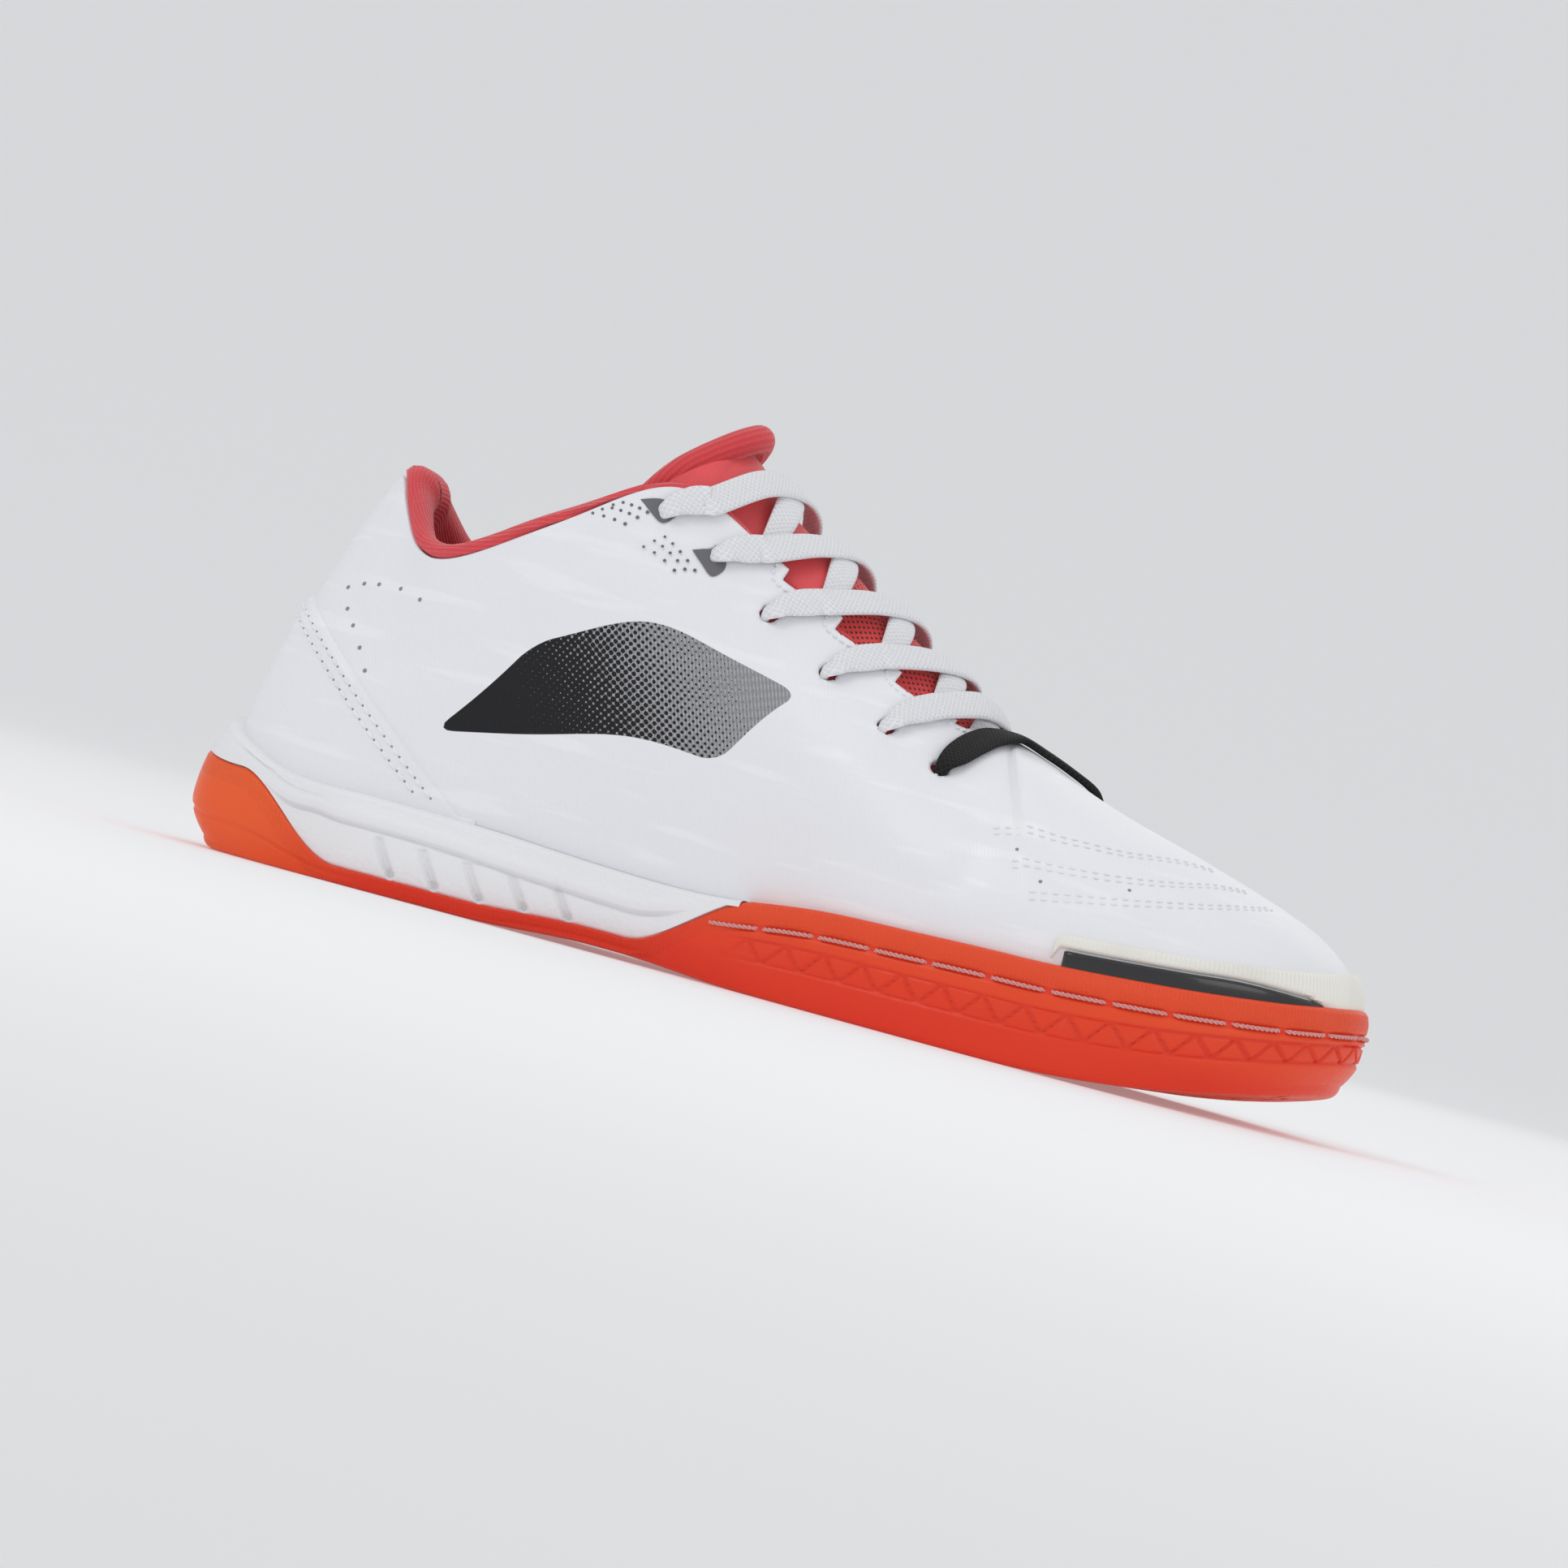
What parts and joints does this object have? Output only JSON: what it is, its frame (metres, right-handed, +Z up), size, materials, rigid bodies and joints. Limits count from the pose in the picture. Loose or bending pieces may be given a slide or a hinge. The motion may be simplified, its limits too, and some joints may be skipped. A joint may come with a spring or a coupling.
{
  "type": "indoor soccer shoe",
  "caption": "Low-cut right indoor soccer shoe with a hollow upper, padded collar and tongue, flat laces, foam midsole and a patterned rubber cup sole.",
  "frame": {"origin": "middle of the bounding box in plan, on the floor under the flat of the tread", "axes": "+X to the toe, +Y to the inner side of the foot, +Z up; the shoe stands on its sole"},
  "size_m": [0.2878, 0.1048, 0.1298],
  "materials": {
    "outsole_rubber": "orange-red rubber, half gloss",
    "midsole_foam": "white moulded foam, satin",
    "insole_cloth": "red fine knit, matt",
    "upper_synthetic": "white coated synthetic with a fine weave, half gloss",
    "lining_cloth": "coral red brushed knit, matt",
    "bumper_rubber": "cream ribbed rubber, matt",
    "stripe_film": "black, gloss",
    "tongue_cloth": "red satin over mesh",
    "lace_cloth": "white flat weave, matt",
    "band_cloth": "black ribbed weave, matt"
  },
  "bodies": {
    "root": {"outsole": "outsole_rubber", "midsole": "midsole_foam", "insole": "insole_cloth", "upper": "upper_synthetic", "collar_lining": "lining_cloth", "heel_counter": "upper_synthetic", "toe_bumper": "bumper_rubber", "toe_stripe_outer": "stripe_film", "toe_stripe_inner": "stripe_film", "tongue": "tongue_cloth", "lace_crossing_1": "lace_cloth", "lace_crossing_2": "lace_cloth", "lace_crossing_3": "lace_cloth", "lace_crossing_4": "lace_cloth", "lace_crossing_5": "lace_cloth", "throat_band": "band_cloth"}
  },
  "joints": []
}
